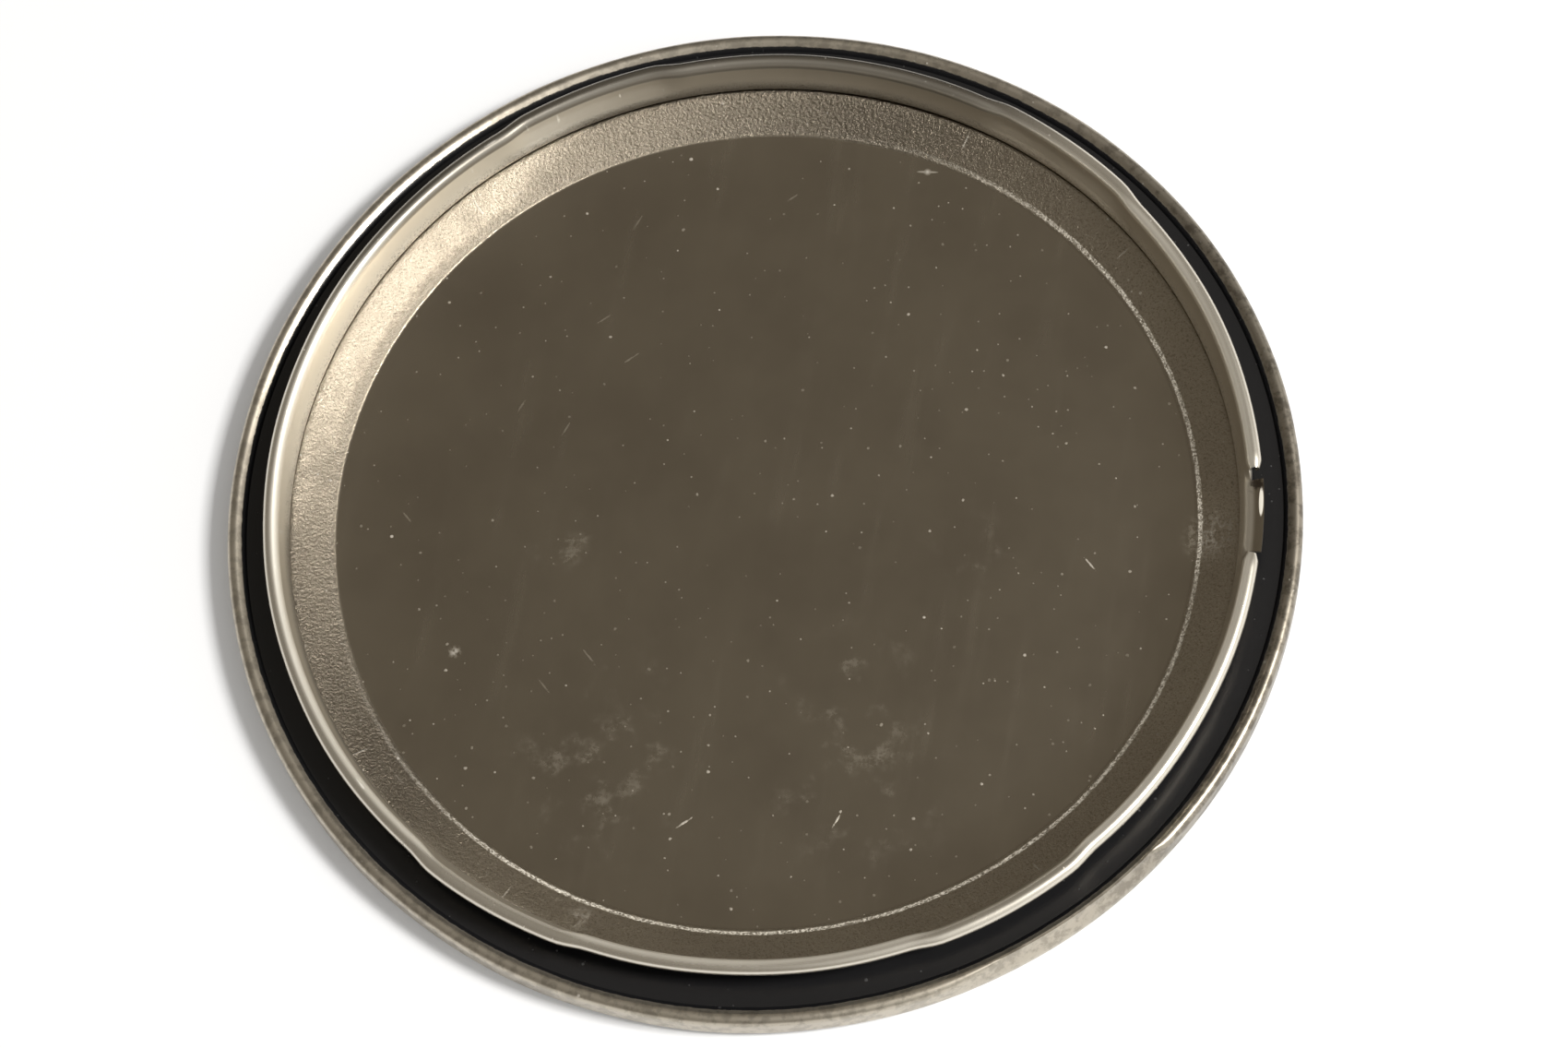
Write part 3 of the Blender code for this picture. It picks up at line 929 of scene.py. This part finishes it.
@dataclass
class Studio:
    """Camera, floor, lamps and world."""

    lens: float = 100.0
    tilt: float = 23.56
    azimuth: float = -77.49
    roll: float = -9.56
    distance: float = 281.9
    aim: tuple[float, float, float] = (1.58, -1.27, 2.25)
    lamp_azimuth: float = -6.0
    lamp_elevation: float = 49.0
    lamp_distance: float = 1.1
    glow_azimuth: float = -15.0
    glow_elevation: float = 38.0

    def add_camera(self, lid: Vector) -> None:
        """Looks down on the upturned lid from the front."""
        tilt, azimuth, roll = (math.radians(a) for a in (self.tilt, self.azimuth, self.roll))
        back = Vector(
            (math.sin(tilt) * math.cos(azimuth), math.sin(tilt) * math.sin(azimuth), math.cos(tilt))
        )
        level = Vector((0.0, 0.0, 1.0)).cross(back).normalized()
        rise = back.cross(level)
        right = level * math.cos(roll) + rise * math.sin(roll)
        up = back.cross(right)
        place = lid + Vector(self.aim) * MM + back * self.distance * MM
        camera = bpy.data.objects.new("camera", bpy.data.cameras.new("camera"))
        camera.data.lens = self.lens
        camera.data.clip_start = 0.01
        turn = Matrix((right, up, back)).transposed().to_4x4()
        camera.matrix_world = Matrix.Translation(place) @ turn
        bpy.context.scene.collection.objects.link(camera)
        bpy.context.scene.camera = camera

    def add_lamp(
        self, name: str, lid: Vector, azimuth: float, elevation: float, power: float, size: float
    ) -> None:
        """Adds a square soft warm lamp that faces the lid.

        Args:
            name: its name.
            lid: the lid's centre.
            azimuth: its direction in degrees from +X.
            elevation: its height in degrees.
            power: its power in watts.
            size: its side in metres.
        """
        turn, rise = math.radians(azimuth), math.radians(elevation)
        away = Vector(
            (math.cos(turn) * math.cos(rise), math.sin(turn) * math.cos(rise), math.sin(rise))
        )
        lamp = bpy.data.objects.new(name, bpy.data.lights.new(name, "AREA"))
        lamp.data.energy = power
        lamp.data.size = size
        lamp.data.color = (1.0, 0.97, 0.92)
        lamp.location = lid + away * self.lamp_distance
        lamp.rotation_euler = away.to_track_quat("Z", "Y").to_euler()
        bpy.context.scene.collection.objects.link(lamp)

    def add_floor(self) -> None:
        """A white floor that shows white around the object and keeps its shadow."""
        deselect()
        bpy.ops.mesh.primitive_plane_add(size=3.0, location=(0.0, 0.0, -0.00003))
        floor = bpy.context.object
        floor.name = "floor"
        material = bpy.data.materials.new("floor_white")
        material.use_nodes = True
        nodes, links = material.node_tree.nodes, material.node_tree.links
        nodes.clear()
        output = nodes.new("ShaderNodeOutputMaterial")
        diffuse = nodes.new("ShaderNodeBsdfDiffuse")
        diffuse.inputs["Color"].default_value = (0.89, 0.91, 0.95, 1.0)
        glow = nodes.new("ShaderNodeEmission")
        glow.inputs["Strength"].default_value = 1.0
        rays = nodes.new("ShaderNodeLightPath")
        seen = nodes.new("ShaderNodeMath")
        seen.operation = "MAXIMUM"
        links.new(rays.outputs["Is Camera Ray"], seen.inputs[0])
        links.new(rays.outputs["Is Glossy Ray"], seen.inputs[1])
        share = nodes.new("ShaderNodeMath")
        share.operation = "MULTIPLY"
        share.inputs[1].default_value = 0.15
        links.new(seen.outputs[0], share.inputs[0])
        mix = nodes.new("ShaderNodeMixShader")
        links.new(share.outputs[0], mix.inputs[0])
        links.new(diffuse.outputs[0], mix.inputs[1])
        links.new(glow.outputs[0], mix.inputs[2])
        links.new(mix.outputs[0], output.inputs["Surface"])
        floor.data.materials.append(material)

    def add_world(self) -> None:
        """A dim warm room that is bright round the lamp, and white where the camera looks past."""
        world = bpy.data.worlds.new("world")
        bpy.context.scene.world = world
        world.use_nodes = True
        nodes, links = world.node_tree.nodes, world.node_tree.links
        background = nodes["Background"]
        turn, rise = math.radians(self.glow_azimuth), math.radians(self.glow_elevation)
        towards = (math.cos(turn) * math.cos(rise), math.sin(turn) * math.cos(rise), math.sin(rise))
        coordinates = nodes.new("ShaderNodeTexCoord")
        facing = nodes.new("ShaderNodeVectorMath")
        facing.operation = "DOT_PRODUCT"
        facing.inputs[1].default_value = towards
        links.new(coordinates.outputs["Generated"], facing.inputs[0])
        ramp = nodes.new("ShaderNodeValToRGB")
        ramp.color_ramp.interpolation = "LINEAR"
        ramp.color_ramp.elements[0].position = 0.55
        ramp.color_ramp.elements[0].color = (0.185, 0.166, 0.138, 1.0)
        ramp.color_ramp.elements[1].position = 0.97
        ramp.color_ramp.elements[1].color = (0.95, 0.95, 0.93, 1.0)
        links.new(facing.outputs["Value"], ramp.inputs[0])
        parts = nodes.new("ShaderNodeSeparateXYZ")
        links.new(coordinates.outputs["Generated"], parts.inputs[0])
        skyline = nodes.new("ShaderNodeValToRGB")
        skyline.color_ramp.elements[0].position = 0.04
        skyline.color_ramp.elements[0].color = (0.62, 0.61, 0.58, 1.0)
        skyline.color_ramp.elements[1].position = 0.26
        skyline.color_ramp.elements[1].color = (0.0, 0.0, 0.0, 1.0)
        links.new(parts.outputs["Z"], skyline.inputs[0])
        both = nodes.new("ShaderNodeMix")
        both.data_type = "RGBA"
        both.blend_type = "ADD"
        both.inputs[0].default_value = 1.0
        links.new(ramp.outputs[0], both.inputs[6])
        links.new(skyline.outputs[0], both.inputs[7])
        rays = nodes.new("ShaderNodeLightPath")
        mix = nodes.new("ShaderNodeMix")
        mix.data_type = "RGBA"
        mix.inputs[7].default_value = (1.0, 1.0, 1.0, 1.0)
        links.new(rays.outputs["Is Camera Ray"], mix.inputs[0])
        links.new(both.outputs[2], mix.inputs[6])
        links.new(mix.outputs[2], background.inputs["Color"])

    def build(self, lid: Vector) -> None:
        """Sets up everything around the object."""
        self.add_camera(lid)
        self.add_lamp("key_lamp", lid, self.lamp_azimuth, self.lamp_elevation, 13.5, 0.27)
        self.add_floor()
        self.add_world()
        bpy.context.scene.view_settings.view_transform = "Standard"


def main() -> None:
    """Builds the studio and every piece, in order."""
    logging.basicConfig(level=logging.INFO, format="%(name)s %(message)s")
    low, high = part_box("tin_lid")
    Studio().build(Vector(((low[0] + high[0]) / 2, (low[1] + high[1]) / 2, 0.0)))
    Lid().build()
    rivet = Opener().build()
    Tin().build(rivet)
    Polish().build()


if __name__ == "__main__":
    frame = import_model()
    main()
